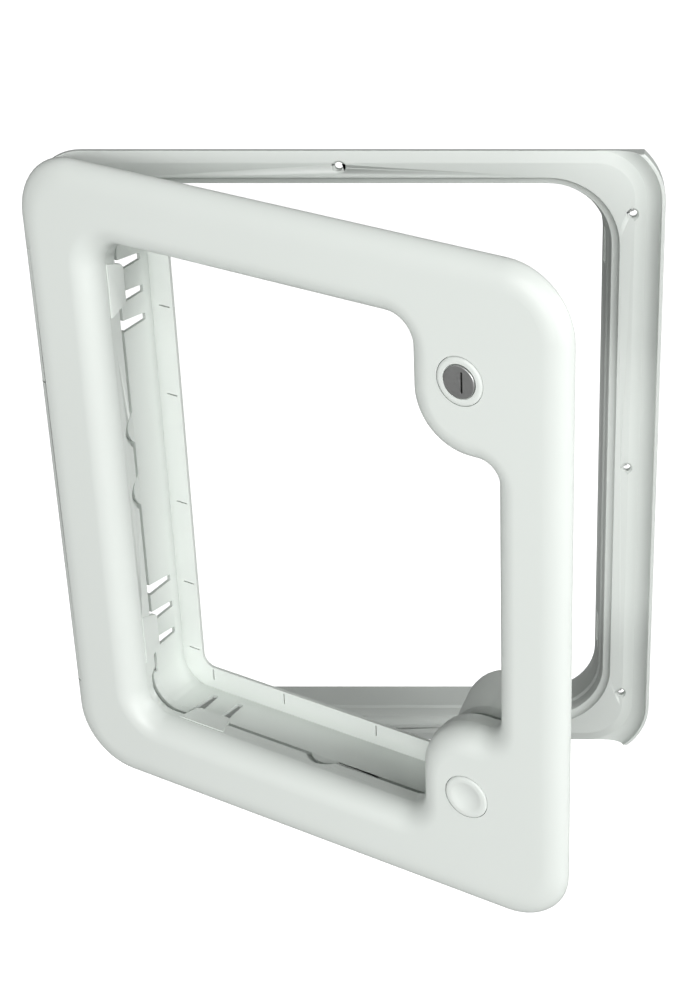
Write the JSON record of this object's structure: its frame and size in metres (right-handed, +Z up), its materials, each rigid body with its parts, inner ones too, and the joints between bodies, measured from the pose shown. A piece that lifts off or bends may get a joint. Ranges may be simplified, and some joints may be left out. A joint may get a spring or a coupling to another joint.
{
  "type": "cassette toilet service door",
  "caption": "Wall frame with a deep collar and a hinged pillow-edged door with a see-through opening, a key lock button, a push button and sprung latches.",
  "frame": {"origin": "centre of the screw pattern, on the back face of the wall frame's flange, which rests on the wall", "axes": "+X to the right along the wall seen from outside, +Y into the wall, +Z up; the hinge is on the left"},
  "size_m": [0.3519, 0.2048, 0.4],
  "materials": {
    "white_plastic": "satin moulded",
    "housing_plastic": "moulded",
    "steel": "satin",
    "seal_rubber": "matte"
  },
  "bodies": {
    "wall": {"wall_frame": "white_plastic", "upper_hinge_pin": "steel", "lower_hinge_pin": "steel"},
    "door": {"door_outer_frame": "white_plastic", "door_inner_frame": "white_plastic", "door_seal": "seal_rubber", "upper_hinge_cover": "white_plastic", "lower_hinge_cover": "white_plastic", "lock_housing": "housing_plastic", "lock_housing_cover": "housing_plastic", "button_housing": "housing_plastic", "button_housing_cover": "housing_plastic", "lock_spring": "steel", "button_spring": "steel", "upper_latch_spring": "steel", "lower_latch_spring": "steel"},
    "lock_press_body": {"lock_button": "white_plastic"},
    "key_barrel": {"lock_barrel": "steel", "lock_cam": "steel", "lock_clip": "steel"},
    "upper_latch_body": {"upper_latch": "steel"},
    "push_button_body": {"push_button": "white_plastic"},
    "lower_latch_body": {"lower_latch": "steel"}
  },
  "joints": [
    {"name": "door_hinge", "type": "hinge", "parent": "wall", "child": "door", "pos_m": [-0.166, -0.008, 0], "axis": [0, 0, -1], "range_deg": [-29.7, 60]},
    {"name": "lock_press", "type": "slide", "parent": "door", "child": "lock_press_body", "axis": [0.4955, 0.8686, 0], "range_m": [0, 0.004], "stiffness_N_per_m": 500, "springref_m": -0.004, "deforming": ["lock_spring", "upper_latch_spring"]},
    {"name": "key_turn", "type": "hinge", "parent": "lock_press_body", "child": "key_barrel", "pos_m": [0.07366, -0.1447, 0.131], "axis": [0.4955, 0.8686, 0], "range_deg": [0, 90]},
    {"name": "upper_latch_slide", "type": "slide", "parent": "door", "child": "upper_latch_body", "axis": [-0.8686, 0.4955, 0], "range_m": [0, 0.004]},
    {"name": "button_press", "type": "slide", "parent": "door", "child": "push_button_body", "axis": [0.4955, 0.8686, 0], "range_m": [0, 0.004], "stiffness_N_per_m": 500, "springref_m": -0.004, "deforming": ["button_spring", "lower_latch_spring"]},
    {"name": "lower_latch_slide", "type": "slide", "parent": "door", "child": "lower_latch_body", "axis": [-0.8686, 0.4955, 0], "range_m": [0, 0.004]}
  ],
  "couplings": [
    {"joint": "upper_latch_slide", "follows": "lock_press", "ratio": 1},
    {"joint": "lower_latch_slide", "follows": "button_press", "ratio": 1}
  ]
}
